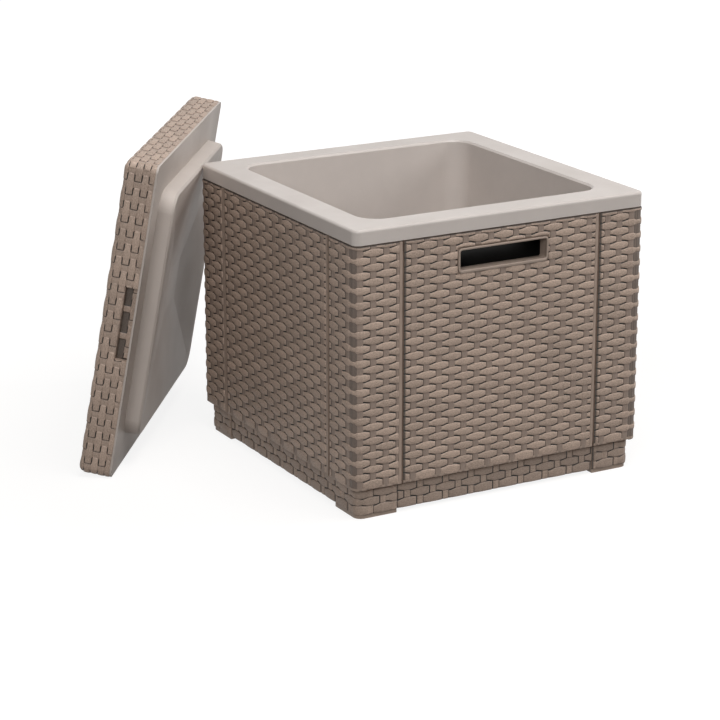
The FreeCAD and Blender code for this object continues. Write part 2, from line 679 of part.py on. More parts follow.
# The drain stopper is a soft plug with a wide head and a tab to pull it by. A flat seal sits
# under its head.
def make_drain_stopper():
    body = new_body("drain_stopper")
    top_radius = cell("spout_bore") / 2 - cell("clearance")
    tip = -cell("stopper_length")
    seat = cell("seal_thickness")
    profile = new_sketch(body, "Profile", "XZ_Plane")
    outline(profile, [(zero, tip), (top_radius, tip), (top_radius, seat),
                      (cell("stopper_head") / 2, seat),
                      (cell("stopper_head") / 2, seat + cell("stopper_head_height")),
                      (zero, seat + cell("stopper_head_height"))])
    plug = body.newObject("PartDesign::Revolution", "StopperPlug")
    plug.Profile = profile
    plug.ReferenceAxis = (profile, ["V_Axis"])
    plug.Angle = 360
    tab_half = cell("stopper_tab_wall") / 2
    tab = new_sketch(body, "Tab", "XZ_Plane", out=-tab_half)
    tab_base = seat + cell("stopper_head_height") / 2
    tab_top = seat + cell("stopper_head_height") + cell("stopper_tab_height")
    tab_side = cell("stopper_tab_width") / 2
    tab_round = cell("stopper_tab_height") / 2
    outline(tab, [(-tab_side, tab_base), (tab_side, tab_base), (tab_side, tab_top, tab_round),
                  (-tab_side, tab_top, tab_round)])
    pad(body, "TabPlate", tab, cell("stopper_tab_wall"))
    return body


def make_stopper_seal():
    outside = doc.addObject("Part::Cylinder", "SealOutside")
    outside.setExpression("Radius", (cell("seal_outside") / 2).text)
    outside.setExpression("Height", cell("seal_thickness").text)
    inside = doc.addObject("Part::Cylinder", "SealInside")
    inside.setExpression("Radius", (cell("spout_bore") / 2 - cell("clearance")).text)
    inside.setExpression("Height", cell("seal_thickness").text)
    seal = doc.addObject("Part::Cut", "stopper_seal")
    seal.Label = "stopper_seal"
    seal.Base = outside
    seal.Tool = inside
    return seal


# The lid's shell is the wicker table top: a shallow tray with its mouth down, ribbed inside, with
# a finger notch in the middle of two opposite edges. Its own zero height is the flange's underside.
def make_lid_shell():
    body = new_body("lid_shell")
    inset = cell("weave_inset")
    wall = cell("lid_wall")
    corner = cell("rim_corner")
    base = cell("liner_wall")
    top = cell("lid_thickness")
    outer = new_sketch(body, "Outer", "XY_Plane", out=base)
    outline(outer, rounded(half - inset, half - inset, corner - inset))
    pad(body, "OuterBlock", outer, top - base)
    doc.recompute()
    fillet(body, "TopRound", level_edges(body.Shape, top.number), cell("lid_edge"))
    lip = new_sketch(body, "Lip", "XY_Plane", out=base)
    outline(lip, rounded(half, half, corner))
    pad(body, "LipBand", lip, cell("flange_wall"))
    hollow = new_sketch(body, "Hollow", "XY_Plane", out=base)
    outline(hollow, rounded(half - wall, half - wall, corner - wall))
    cut(body, "HollowCut", hollow, top - base - wall, reverse=True)
    ceiling = top - wall
    span = cell("lid_rib_pitch") * (cell("lid_rib_count") - 1)
    rib_half = cell("lid_rib_wall") / 2
    rib_out = half - wall + inset / 2
    for name, axis in (("Across", "V_Axis"), ("Along", "H_Axis")):
        rib = new_sketch(body, "Rib" + name, "XY_Plane", out=ceiling - cell("lid_rib_depth"))
        if axis == "V_Axis":
            outline(rib, block(-rib_out, -span / 2 - rib_half, rib_out, -span / 2 + rib_half))
        else:
            outline(rib, block(-span / 2 - rib_half, -rib_out, -span / 2 + rib_half, rib_out))
        wall_rib = pad(body, "RibWall" + name, rib, cell("lid_rib_depth") + wall / 2)
        doc.recompute()
        pattern(body, "Ribs" + name, [wall_rib], (rib, [axis]), span, cell("lid_rib_count"))
    length = cell("notch_length") / 2
    depth = cell("notch_depth")
    roof = base + cell("notch_height")
    wells = new_sketch(body, "Wells", "XY_Plane", out=base)
    for side in (-1, 1):
        edges = sorted((half * side - inset * side * 2, (half - depth - wall) * side),
                       key=lambda place: place.number)
        outline(wells, block(edges[0], -length - wall, edges[1], length + wall))
    pad(body, "WellBlocks", wells, cell("notch_height") + wall)
    notches = new_sketch(body, "Notches", "XY_Plane", out=roof)
    for side in (-1, 1):
        edges = sorted(((half + wall) * side, (half - depth) * side), key=lambda place: place.number)
        outline(notches, block(edges[0], -length, edges[1], length))
    cut(body, "NotchCuts", notches, cell("notch_height") + wall)
    return body


# The lid's liner is the pale underside: a flange that closes the shell and sits on the tub's rim,
# a plug that drops into the tub's mouth with its underside dished like a shallow pyramid, and
# snap hooks that catch inside the shell.
def make_lid_liner():
    body = new_body("lid_liner")
    sheet_wall = cell("liner_wall")
    plug_half = mouth_half - cell("plug_clearance")
    tip_half = plug_half - cell("plug_draft")
    corner = cell("opening_corner") - cell("plug_clearance")
    depth = cell("plug_depth")
    flange = new_sketch(body, "Flange", "XY_Plane")
    outline(flange, rounded(half, half, cell("rim_corner")))
    pad(body, "FlangeSheet", flange, sheet_wall)
    plug_base = new_sketch(body, "PlugBase", "XY_Plane")
    outline(plug_base, rounded(plug_half, plug_half, corner))
    plug = pad(body, "Plug", plug_base, depth, reverse=True)
    plug.setExpression("TaperAngle", "atan((0 - %s) / %s)" % (cell("plug_draft").text, depth.text))
    doc.recompute()
    tip_edges = level_edges(body.Shape, -depth.number)
    bevel(body, "PlugBevel", tip_edges, cell("plug_edge"))
    hollow = new_sketch(body, "Hollow", "XY_Plane", out=sheet_wall)
    hollow_half = tip_half - sheet_wall
    outline(hollow, rounded(hollow_half, hollow_half, corner - sheet_wall))
    cut(body, "HollowCut", hollow, depth)
    lip_half = tip_half - cell("dish_lip")
    crown_half = cell("dish_floor") / 2
    frustum(body, "DishBack", "AdditiveWedge", sheet_wall - depth, cell("dish_depth"), lip_half,
            crown_half)
    before = body.Shape.Volume
    frustum(body, "Dish", "SubtractiveWedge", -depth, cell("dish_depth"), lip_half, crown_half)
    if body.Shape.Volume > before - least_cut:
        raise RuntimeError("the dish cut nothing")
    hook_out = half - cell("lid_wall") - cell("clearance")
    hook_in = hook_out - cell("hook_wall")
    hook_half = cell("hook_length") / 2
    hooks = new_sketch(body, "Hooks", "XY_Plane", out=sheet_wall)
    for place in (-cell("hook_place"), cell("hook_place")):
        low = place - hook_half
        high = place + hook_half
        outline(hooks, block(low, -hook_out, high, -hook_in))
        outline(hooks, block(low, hook_in, high, hook_out))
        outline(hooks, block(-hook_out, low, -hook_in, high))
        outline(hooks, block(hook_in, low, hook_out, high))
    pad(body, "SnapHooks", hooks, cell("hook_height"))
    return body


def lean_lid(tub, liner):
    """Stands the lid's own frame on its edge, leaning on the back left corner of the rim.

    The lid starts clear of the tub and slides level towards it until only the clearance is left.
    """
    lean = math.radians(cell("lean_angle").number)
    turn = math.radians(cell("lean_turn").number)
    along = FreeCAD.Vector(math.sin(turn), math.cos(turn), 0)
    level = FreeCAD.Vector(math.cos(turn), -math.sin(turn), 0)
    upright = FreeCAD.Vector(0, 0, 1)
    rise = upright * math.cos(lean) + level * math.sin(lean)
    inward = level * math.cos(lean) - upright * math.sin(lean)
    rotation = FreeCAD.Rotation(along, rise * -1, inward * -1, "XYZ")
    inset = (half - cell("rim_corner")).number
    corner = FreeCAD.Vector(-inset, inset, 0)
    start = cell("plug_depth").number + cell("rim_corner").number * 2
    start = start + cell("rim_height").number * math.tan(lean)
    middle = level * (corner.dot(level) - start)
    middle = middle + along * (corner.dot(along) - cell("lean_along").number + half.number)
    middle = middle + rise * half.number
    shape = liner.Shape.copy()
    for step in range(settle_steps):
        shape.Placement = FreeCAD.Placement(middle, rotation)
        gap = shape.distToShape(tub.Shape)[0] - cell("clearance").number
        middle = middle + level * gap
    return FreeCAD.Placement(middle, rotation)


tub = make_tub()
posts = [make_corner_post("corner_post_front_left", 0), make_corner_post("corner_post_front_right", 90),
         make_corner_post("corner_post_back_right", 180), make_corner_post("corner_post_back_left", 270)]
panels = [make_panel("panel_front", 0, True), make_panel("panel_right", 90, False),
          make_panel("panel_back", 180, True), make_panel("panel_left", 270, False)]
frames = [make_handle_frame("handle_frame_front", 0), make_handle_frame("handle_frame_back", 180)]
base_tray = make_base_tray()
base_screws = make_base_screws()
drain_stopper = make_drain_stopper()
stopper_seal = make_stopper_seal()
lid_shell = make_lid_shell()
lid_liner = make_lid_liner()

stopper_place = FreeCAD.Placement(FreeCAD.Vector(0, cell("drain_offset").number,
                                                 cell("tub_floor_height").number + cell("clearance").number),
                                  FreeCAD.Rotation())
drain_stopper.Placement = stopper_place
stopper_seal.Placement = stopper_place
lid_place = lean_lid(tub, lid_liner)
lid_shell.Placement = lid_place
lid_liner.Placement = lid_place
doc.recompute()

pieces = [tub, base_tray, base_screws, drain_stopper, stopper_seal, lid_shell, lid_liner]
pieces = pieces + posts + panels + frames
for item in doc.Objects:
    if "Invalid" in item.State or "Error" in item.State:
        raise RuntimeError("failed object " + item.Name)
for piece in pieces:
    if piece.Shape.isNull() or not piece.Shape.isValid():
        raise RuntimeError("bad shape " + piece.Label)

os.makedirs("parts", exist_ok=True)
for piece in pieces:
    piece.Shape.exportStep("parts/%s.step" % piece.Label)
    box = piece.Shape.BoundBox
    print("%-26s solids %d volume %9.0f  x %7.1f %7.1f  y %7.1f %7.1f  z %7.1f %7.1f" % (
        piece.Label, len(piece.Shape.Solids), piece.Shape.Volume,
        box.XMin, box.XMax, box.YMin, box.YMax, box.ZMin, box.ZMax))
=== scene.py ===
import json
import math

import bpy
import numpy as np
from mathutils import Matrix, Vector


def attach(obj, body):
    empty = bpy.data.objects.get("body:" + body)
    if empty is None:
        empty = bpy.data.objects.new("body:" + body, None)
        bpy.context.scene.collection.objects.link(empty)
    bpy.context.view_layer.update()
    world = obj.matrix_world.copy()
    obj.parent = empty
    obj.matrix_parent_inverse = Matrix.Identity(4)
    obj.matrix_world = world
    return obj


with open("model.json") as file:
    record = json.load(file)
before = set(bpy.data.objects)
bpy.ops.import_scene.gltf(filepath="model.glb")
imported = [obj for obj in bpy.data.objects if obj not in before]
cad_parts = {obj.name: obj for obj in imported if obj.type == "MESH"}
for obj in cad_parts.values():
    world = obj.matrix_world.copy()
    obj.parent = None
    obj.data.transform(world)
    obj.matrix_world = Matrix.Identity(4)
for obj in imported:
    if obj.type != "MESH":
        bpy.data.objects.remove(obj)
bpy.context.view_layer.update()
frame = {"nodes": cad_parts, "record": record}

# A patio cooler table of moulded resin wicker, with its lid off and leaning on one corner. The frame
# is in metres, +Z up, front towards -Y, with the origin on the floor under the middle of the box.

# The camera stands 3.3 metres away, in front and to the left, and looks down by 17 degrees.
camera_place = Vector((-1.6103, -2.7193, 1.1072))
camera_target = Vector((-0.0687, 0.0292, 0.1237))
camera_lens = 124.8
camera_sensor = 36.0
camera_data = bpy.data.cameras.new("camera")
camera_data.lens = camera_lens
camera_data.sensor_width = camera_sensor
camera = bpy.data.objects.new("camera", camera_data)
camera.location = camera_place
camera.rotation_euler = (camera_target - camera_place).to_track_quat("-Z", "Y").to_euler()
bpy.context.scene.collection.objects.link(camera)
bpy.context.scene.camera = camera
bpy.context.scene.view_settings.view_transform = "Standard"

# The floor is a wide plain pale sheet. It glows to camera, mirror and glass rays alone, a little
# less near the object, so that it shows as white and still holds the object's soft shadow.
floor_half = 14.0
floor_colour = (0.20, 0.19, 0.18)
floor_roughness = 0.9
floor_glow, full_glow = 0.86, 1.0
glow_near, glow_far = 0.5, 1.8
white = (1, 1, 1, 1)


def new_material(name, colour, roughness):
    """A material with a Principled shader set to one colour and roughness."""
    material = bpy.data.materials.new(name)
    material.use_nodes = True
    shader = material.node_tree.nodes["Principled BSDF"]
    shader.inputs["Base Color"].default_value = (*colour, 1)
    shader.inputs["Roughness"].default_value = roughness
    return material, shader


def arithmetic(tree, operation, first, second=None, third=None):
    """One arithmetic step on up to three values or sockets."""
    node = tree.nodes.new("ShaderNodeMath")
    node.operation = operation
    for place, value in enumerate((first, second, third)):
        if isinstance(value, bpy.types.NodeSocket):
            tree.links.new(value, node.inputs[place])
        elif value is not None:
            node.inputs[place].default_value = value
    return node.outputs[0]


def add_node(tree, kind, inputs=None, **settings):
    """A shader node with properties set, and inputs linked to sockets or set to values."""
    node = tree.nodes.new("ShaderNode" + kind)
    for name, value in settings.items():
        setattr(node, name, value)
    for name, value in (inputs or {}).items():
        if isinstance(value, bpy.types.NodeSocket):
            tree.links.new(value, node.inputs[name])
        else:
            node.inputs[name].default_value = value
    return node


def seen_directly(tree):
    """1 for camera, mirror and glass rays, and 0 for the rays that carry light."""
    path = tree.nodes.new("ShaderNodeLightPath").outputs
    mirror_or_glass = arithmetic(tree, "MAXIMUM", path["Is Glossy Ray"], path["Is Transmission Ray"])
    return arithmetic(tree, "MAXIMUM", path["Is Camera Ray"], mirror_or_glass)


floor_mesh = bpy.data.meshes.new("floor")
floor_corners = [(-floor_half, -floor_half, 0), (floor_half, -floor_half, 0),
                 (floor_half, floor_half, 0), (-floor_half, floor_half, 0)]
floor_mesh.from_pydata(floor_corners, [], [(0, 1, 2, 3)])
floor = bpy.data.objects.new("floor", floor_mesh)
bpy.context.scene.collection.objects.link(floor)
floor_material, floor_shader = new_material("pale_floor", floor_colour, floor_roughness)
floor_tree = floor_material.node_tree
floor_shader.inputs["Specular IOR Level"].default_value = 0.0
floor_shader.inputs["Emission Color"].default_value = white
floor_place = add_node(floor_tree, "TexCoord").outputs["Object"]
from_middle = add_node(floor_tree, "VectorMath", {0: floor_place}, operation="LENGTH")
glow = add_node(floor_tree, "MapRange", {"Value": from_middle.outputs["Value"],
                                         "From Min": glow_near, "From Max": glow_far,
                                         "To Min": floor_glow, "To Max": full_glow})
glow = arithmetic(floor_tree, "MULTIPLY", seen_directly(floor_tree), glow.outputs["Result"])
floor_tree.links.new(glow, floor_shader.inputs["Emission Strength"])
floor_mesh.materials.append(floor_material)

# A pale room gives weak even light from all sides. A large soft lamp overhead lights the rim and the
# lid's edge, one at the right the upper part of the liner, and one at the left the two walls in view.
room_strength = 0.10
lamp_target = (0, 0, 0.2)
room = bpy.data.worlds.new("room")
room.use_nodes = True
bpy.context.scene.world = room
room_tree = room.node_tree
room_glow = room_tree.nodes["Background"]
room_glow.inputs["Color"].default_value = white
room_glow.inputs["Strength"].default_value = room_strength
white_glow = add_node(room_tree, "Background", {"Color": white, "Strength": full_glow})
room_mix = add_node(room_tree, "MixShader", {"Fac": seen_directly(room_tree),
                                             1: room_glow.outputs["Background"],
                                             2: white_glow.outputs["Background"]})
room_tree.links.new(room_mix.outputs["Shader"], room_tree.nodes["World Output"].inputs["Surface"])


def soft_lamp(name, place, size, power):
    """A square studio lamp at a place, turned towards the lamp target."""
    data = bpy.data.lights.new(name, "AREA")
    data.size = size
    data.energy = power
    lamp = bpy.data.objects.new(name, data)
    lamp.location = place
    lamp.rotation_euler = (Vector(lamp_target) - Vector(place)).to_track_quat("-Z", "Y").to_euler()
    bpy.context.scene.collection.objects.link(lamp)


soft_lamp("overhead_lamp", (0.0, -0.8, 3.0), 1.6, 51)
soft_lamp("right_lamp", (2.4, -1.2, 1.6), 1.2, 28)
soft_lamp("left_lamp", (-2.2, -2.4, 1.8), 1.2, 37)


# The four flat panels are the wicker walls between the corner posts, moulded in matt taupe resin.
# Flat strands pass over every second upright stake, row by row in turn. Each panel stands on the base
# tray and has a plain rail along its right edge. The front and back ones are cut for a handhold.

# Sizes of pieces are in millimetres, and mm turns them to metres.
mm = 0.001
# The walls, the hole's half width and half height for a handhold, and the shade under the tub's rim.
wall_half = 210.0
wall_corner = 9.0
wall_foot = 40.4
wall_top = 349.4
panel_edge = 141.0
rail_width = 4.0
hand_middle = 315.0
hand_hole = (66.2, 16.4)
eaves_shade = 0.9
eaves_from, eaves_to = 1.5, 0.3
# The weave's rows and stakes on the walls. It lies an inset behind the plain rails and lips.
wall_rows = 33
wall_bottom = 43.0
row_pitch = 9.16
stake_pitch = 18.2
weave_inset = 1.0
slab_depth = 0.5
# A strand's relief at its start, over its stake and at its end, and the fall to its long edges.
# Distances along a strand count from the middle of the stake that it passes over.
strand_start, strand_top, strand_end = 1.2, 2.0, 1.75
strand_crown = 0.5
reach_left, reach_right = 14.15, 13.1
crest_half = 2.5
# A strand's half height over its stake, and at its start and end, as shares of the row's height,
# and the share of a row that stays open beside it.
top_share = 0.495
wall_shares = (0.26, 0.33)
wall_slit = 0.013
# Where a strand is at its widest, and how far its narrowing runs past its end. One that starts over
# wide_start widens within bulge_reach of its stake instead.
widest_from, widest_to = -1.5, 5.0
blunt_past = 0.5
wide_start = 0.4
bulge_reach = 6.0
# Where a strand passes over two stakes side by side, it is pinched and sinks between them.
corner_pinch, pinch_from, pinch_to = 0.20, 4, 7
corner_sink, sink_from, sink_to = 0.9, 3, 7
# The stakes, the hollows beside them, and how much painted shade darkens the hollows, valleys and
# the corner bundle, where 1 is the darkest and the bundle's raised ribs get less.
stake_half = 3.9
stake_slack = 0.05
stake_top = 1.05
stake_fall = 0.3
hollow_floor = 0.08
window_lift = 0.1
valley_sink = 0.2
valley_shade = 0.6
bundle_low, bundle_rib = 0.3, 0.35
bundle_shade, rib_light = 0.62, 0.30
# Both ends of a row fade to the hollow floor. The left one leaves a bare margin for the seam, and
# painted shade darkens the first few millimetres of the row there, as the groove's shade.
seam_margin = 2.0
fade_from, fade_to = -0.3, 0.8
seam_lines = seam_margin + np.array([fade_from, 0.3, fade_to])
seam_shade, seam_reach = 0.85, 5
# Grid lines: shares across a strand and across the valley to the next row, and places along the
# row about a stake.
strand_shares = np.array([-1.0, -0.86, -0.5, 0.0, 0.5, 0.86, 1.0])
valley_shares = np.array([0.12, 0.88])
about_stake = np.array([-8.3, -6.6, -5.2, -4.9, -4.2, -3.9, -2.6, 0.0, 2.6, 3.9, 4.1, 5.6, 7.3])
lines_apart = 0.1
# Tone numbers go up by one for each strand and by row_tones for each row.
row_tones = 37
strand_colour = (0.465, 0.350, 0.280)
# The darker stake colour is painted shade, as the stakes lie lower than the strands.
stake_shade_colour = (0.300, 0.228, 0.186)
# The near-black valley colour is painted shade, mixed in where the slits, hollows and windows lie.
valley_shade_colour = (0.010, 0.008, 0.006)
plain_colour = (0.370, 0.280, 0.225)


def smooth_step(value, low, high):
    """0 up to low, 1 from high on, and the curve 3t^2 - 2t^3 between them."""
    share = np.clip((value - low) / (high - low), 0, 1)
    return share * share * (3 - 2 * share)


def weave_lines(start, end, stakes, extra=(), about=about_stake, ends=(0.0, 0.3, 0.9)):
    """Grid lines across the stakes: a fixed set about each stake, one halfway between two stakes, a
    few at each end and at the seam margin, and any extra ones, in order and lines_apart or more
    from each other."""
    fixed = np.concatenate([start + np.array(ends), start + seam_lines, end - np.array(ends),
                            np.asarray(extra, float)])
    between = (stakes[1:] + stakes[:-1]) / 2
    lines = np.concatenate([(stakes[:, None] + about[None, :]).ravel(), between])
    lines = lines[(lines > start) & (lines < end)]
    lines = lines[np.abs(lines[:, None] - fixed[None, :]).min(1) > lines_apart]
    lines = np.unique(np.round(np.concatenate([lines, fixed]), 3))
    return lines[np.concatenate([[True], np.diff(lines) > lines_apart])]


def strand_shape(lines, over_stakes, end_shares, way):
    """Half height, relief and number of a row's strands at each line along the row.

    A strand starts low, is highest over the stake it covers and ends blunt, to the right where way
    is 1. Each change is a smooth step of the signed distance from that stake: relief = start + (top
    - start) * rise - (top - end) * fall, and half height alike, with widen and narrow. A strand that
    starts wide bulges over its stake alone. Two stakes side by side share one strand, which is
    narrower and lower between them. The half height is 0 off the strands.
    """
    start_share, end_share = end_shares
    side_by_side = stake_pitch * 1.5
    nearest = over_stakes[np.abs(lines[:, None] - over_stakes[None, :]).argmin(1)]
    place = np.clip(np.searchsorted(over_stakes, lines), 1, len(over_stakes) - 1)
    left, right = over_stakes[place - 1], over_stakes[place]
    inside = np.maximum(np.minimum(lines - left, right - lines), 0)
    inside = np.where(right - left < side_by_side, inside, 0)
    offset = np.where(inside > 0, 0, lines - nearest) * way
    rise = smooth_step(offset, -reach_left, -crest_half)
    fall = smooth_step(offset, crest_half, reach_right)
    if start_share > wide_start:
        widen = smooth_step(offset, -bulge_reach, -stake_half)
        narrow = smooth_step(offset, stake_half, bulge_reach)
    else:
        widen = smooth_step(offset, -reach_left, widest_from)
        narrow = smooth_step(offset, widest_to, reach_right + blunt_past)
    half = start_share + (top_share - start_share) * widen - (top_share - end_share) * narrow
    half = half - corner_pinch * smooth_step(inside, pinch_from, pinch_to)
    relief = strand_start + (strand_top - strand_start) * rise - (strand_top - strand_end) * fall
    relief = relief - corner_sink * smooth_step(inside, sink_from, sink_to)
    numbers = np.cumsum(np.diff(over_stakes, prepend=-np.inf) > side_by_side)
    number = numbers[np.searchsorted(over_stakes, nearest)]
    covered = (offset > -reach_left) & (offset < reach_right)
    return np.where(covered, half, 0), relief, number


def weave(lines, stakes, over, row_edges, shares=strand_shares, valleys=valley_shares, fade=True,
          bend=None, end_shares=wall_shares, way=1, slit=wall_slit):
    """Relief of the wicker on a grid of row lines by stake lines, all in millimetres.

    over says for each stake whether even rows (0) or odd rows (1) pass over it. In a row the grid
    lines follow the outline of the strands: height above the row's middle is share times half
    height, and slit is the share of a row that stays open above and below a strand. Relief falls by
    crown * |share|^3 across a strand, is stake top - fall * (offset / half)^4 on a stake, and is
    near the hollow floor between them. Inside bend, a pair of lines, the rows that don't pass over
    show a bundle of thin stakes, with painted shade between the raised ribs. With fade, the relief
    goes down to the hollow floor at both ends of the rows, and painted shade darkens the seam margin
    at the left end. The grids are height, relief, along and three marks for the material: the shade
    mark is painted shade, near black at 1, in the slits, valleys and bare hollows, tone is a number
    for each strand, and upright is 1 on stakes, which the material darkens as painted shade.
    """
    rows = len(row_edges) - 1
    row_height = np.diff(row_edges)
    row_middle = (row_edges[1:] + row_edges[:-1]) / 2
    parity = np.arange(rows) % 2
    from_stake = np.abs(lines[:, None] - stakes[None, :]).min(1)
    on_stake = from_stake < stake_half + stake_slack
    rounded = stake_top - stake_fall * np.minimum(from_stake / stake_half, 1) ** 4
    bare_relief = np.where(on_stake, rounded, hollow_floor + window_lift)
    # Bare hollows between the stakes, where no strand covers them, get full painted shade.
    bare_shade = np.where(on_stake, 0.0, 1.0)
    if bend is not None:
        bundle = (lines > bend[0]) & (lines < bend[1]) & ~on_stake
        ribs = np.cumsum(bundle) % 2
        bare_relief = np.where(bundle, bundle_low + bundle_rib * ribs, bare_relief)
        bare_shade = np.where(bundle, bundle_shade - rib_light * ribs, bare_shade)
    shapes = [strand_shape(lines, stakes[over == side], end_shares, way) for side in (0, 1)]
    covered = np.array([shape[0] > 0 for shape in shapes])
    half_share = np.array([np.where(shape[0] > 0, shape[0],
                                    1 - slit - np.where(other[0] > 0, other[0], top_share))
                           for shape, other in (shapes, shapes[::-1])])
    relief = np.where(covered, [shape[1] for shape in shapes], bare_relief)
    tone = np.array([shape[2] for shape in shapes])
    half = half_share[parity] * row_height[:, None]
    share_column = shares[None, :, None]
    height = row_middle[:, None, None] + share_column * half[:, None, :]
    crown = strand_crown * np.abs(share_column) ** 3 * covered[parity][:, None, :]
    upper, lower = height[:-1, -1, :], height[1:, 0, :]
    valley_height = upper[:, None, :] + valleys[None, :, None] * (lower - upper)[:, None, :]
    strands, count = len(shares), len(shares) + len(valleys)
    shape = (rows, count, len(lines))
    grids = {name: np.zeros(shape) for name in ("height", "relief", "hollow", "tone", "upright")}
    grids["height"][:, :strands] = height
    grids["height"][:-1, strands:] = valley_height
    grids["relief"][:, :strands] = relief[parity][:, None, :] - crown
    grids["relief"][:, strands:] = np.where(on_stake, bare_relief - valley_sink, hollow_floor)
    grids["hollow"][:, :strands] = np.where(covered[parity], 0.0, bare_shade)[:, None, :]
    grids["hollow"][:, strands:] = np.where(on_stake, valley_shade, 1.0)
    grids["upright"] += np.where(covered[parity], 0.0, 1.0)[:, None, :]
    grids["tone"] += (tone[parity] + np.arange(rows)[:, None] * row_tones)[:, None, :]
    grids["along"] = np.zeros(shape) + lines
    used = rows * count - len(valleys)
    grids = {name: grid.reshape(rows * count, -1)[:used] for name, grid in grids.items()}
    grids["height"][0] = row_edges[0]
    grids["height"][-1] = row_edges[-1]
    if fade:
        from_end = np.minimum(lines - lines[0] - seam_margin, lines[-1] - lines)
        rising = smooth_step(from_end, fade_from, fade_to)
        grids["relief"] = hollow_floor + (grids["relief"] - hollow_floor) * rising
        # Painted shade in the seam's groove, at the left end of the rows.
        seam = seam_shade * (1 - rising) * (lines < lines[0] + seam_reach)
        grids["hollow"] = np.maximum(grids["hollow"], seam)
    return grids


def shift_marks(grids, way, tone):
    """Moves a face's grain along by a way, and gives its strands other tones than its like have."""
    grids["along"] = grids["along"] + way
    grids["tone"] = grids["tone"] + tone


def nearest_index(values, wanted):
    """Index of the grid line that lies nearest to each wanted place."""
    return [int(np.abs(values - place).argmin()) for place in wanted]


def woven_sheet(name, grids, place, keep=None, row_breaks=(), column_breaks=(), loop=False):
    """A closed sheet over a weave grid: quads over the kept cells, walls round every edge of them
    down to a back slab_depth below, and flat faces on the back between the breaks.

    place turns the way along the rows, the height across them and the relief into x, y and z. The
    back is one face for each stretch of kept cells between two row and two column breaks, so it
    follows a bend where the breaks are close. In a loop the last line is the first one again.
    """
    rows, columns = grids["height"].shape
    outer = place(grids["along"], grids["height"], grids["relief"])
    inner = place(grids["along"], grids["height"], grids["relief"] * 0 - slab_depth)
    index = np.arange(rows * columns).reshape(rows, columns)
    if loop:
        index[:, -1] = index[:, 0]
    keep = np.ones((rows - 1, columns - 1), bool) if keep is None else keep
    corners = np.stack([index[:-1, :-1], index[:-1, 1:], index[1:, 1:], index[1:, :-1]], -1)
    padded = np.pad(keep, 1)
    if loop:
        padded[:, 0], padded[:, -1] = padded[:, -2], padded[:, 1]
    shift = rows * columns
    faces = [corners[keep]]
    for first, second, neighbour in ((1, 0, padded[:-2, 1:-1]), (3, 2, padded[2:, 1:-1]),
                                     (0, 3, padded[1:-1, :-2]), (2, 1, padded[1:-1, 2:])):
        ends = corners[keep & ~neighbour]
        faces.append(np.stack([ends[:, first], ends[:, second], ends[:, second] + shift,
                               ends[:, first] + shift], -1))
    under = index + shift
    row_stops = sorted({0, rows - 1, *row_breaks})
    column_stops = sorted({0, columns - 1, *column_breaks})
    backs = []
    for low, high in zip(row_stops, row_stops[1:]):
        for left, right in zip(column_stops, column_stops[1:]):
            if keep[low, left]:
                backs.append(np.concatenate([under[low:high, left], under[high, left:right],
                                             under[high:low:-1, right], under[low, right:left:-1]]))
    quads = np.concatenate(faces)
    used = np.unique(np.concatenate([quads.ravel()] + backs))
    renumber = np.zeros(2 * shift, int)
    renumber[used] = np.arange(len(used))
    mesh = bpy.data.meshes.new(name)
    points = np.concatenate([outer.reshape(-1, 3), inner.reshape(-1, 3)])[used] * mm
    back_faces = [renumber[back].tolist() for back in backs]
    mesh.from_pydata(points, [], renumber[quads].tolist() + back_faces)
    smooth = np.zeros(len(mesh.polygons), bool)
    smooth[:len(faces[0])] = True
    mesh.polygons.foreach_set("use_smooth", smooth)
    for mark in ("hollow", "tone", "upright", "along", "height"):
        values = np.tile(grids[mark].ravel(), 2)[used].astype(np.float32)
        mesh.attributes.new(mark, "FLOAT", "POINT").data.foreach_set("value", values)
    mesh.update()
    piece = bpy.data.objects.new(name, mesh)
    bpy.context.scene.collection.objects.link(piece)
    mesh.materials.append(woven_resin)
    return piece


def round_the_box(way, out, half_side, corner):
    """x and y on a rounded square, by the way along its edge and the distance out from it.

    The way starts at the middle of the front and runs to the right. On a corner the angle is the
    way past the straight side divided by the corner's radius."""
    straight = half_side - corner
    quarter = 2 * straight + corner * math.pi / 2
    side = np.floor((way + straight) / quarter)
    rest = way - side * quarter
    angle = np.clip((rest - straight) / corner, 0, math.pi / 2)
    x = np.minimum(rest, straight) + (corner + out) * np.sin(angle)
    y = -straight - (corner + out) * np.cos(angle)
    turn = side * math.pi / 2
    return x * np.cos(turn) - y * np.sin(turn), x * np.sin(turn) + y * np.cos(turn)


def upright_face(half_side, corner, inset=0.0):
    """Gives the function that places weave on the upright faces of a rounded square: x and y lie
    relief - inset out from its edge, and z is the height."""
    def place(way, height, relief):
        x, y = round_the_box(way, relief - inset, half_side, corner)
        return np.stack([x, y, height], -1)
    return place


def mixed_colour(tree, share, first, second):
    """Two colours or colour sockets mixed by a socket's share of the second."""
    node = tree.nodes.new("ShaderNodeMix")
    node.data_type = "RGBA"
    sockets = {item.identifier: item for item in node.inputs}
    tree.links.new(share, sockets["Factor_Float"])
    for name, value in (("A_Color", first), ("B_Color", second)):
        if isinstance(value, bpy.types.NodeSocket):
            tree.links.new(value, sockets[name])
        else:
            sockets[name].default_value = (*value, 1)
    return {item.identifier: item for item in node.outputs}["Result_Color"]


def shades(colour, contrast):
    """A darker and a lighter shade of a colour, each off by the contrast as a share."""
    return (tuple(channel * (1 - contrast) for channel in colour),
            tuple(channel * (1 + contrast) for channel in colour))


def new_group(name, inputs, outputs):
    """An empty shader node group with named number sockets, with its input and output nodes."""
    group = bpy.data.node_groups.new(name, "ShaderNodeTree")
    for title, value in inputs.items():
        socket = group.interface.new_socket(name=title, in_out="INPUT", socket_type="NodeSocketFloat")
        socket.default_value = value
    for title in outputs:
        group.interface.new_socket(name=title, in_out="OUTPUT", socket_type="NodeSocketFloat")
    return group, group.nodes.new("NodeGroupInput"), group.nodes.new("NodeGroupOutput")


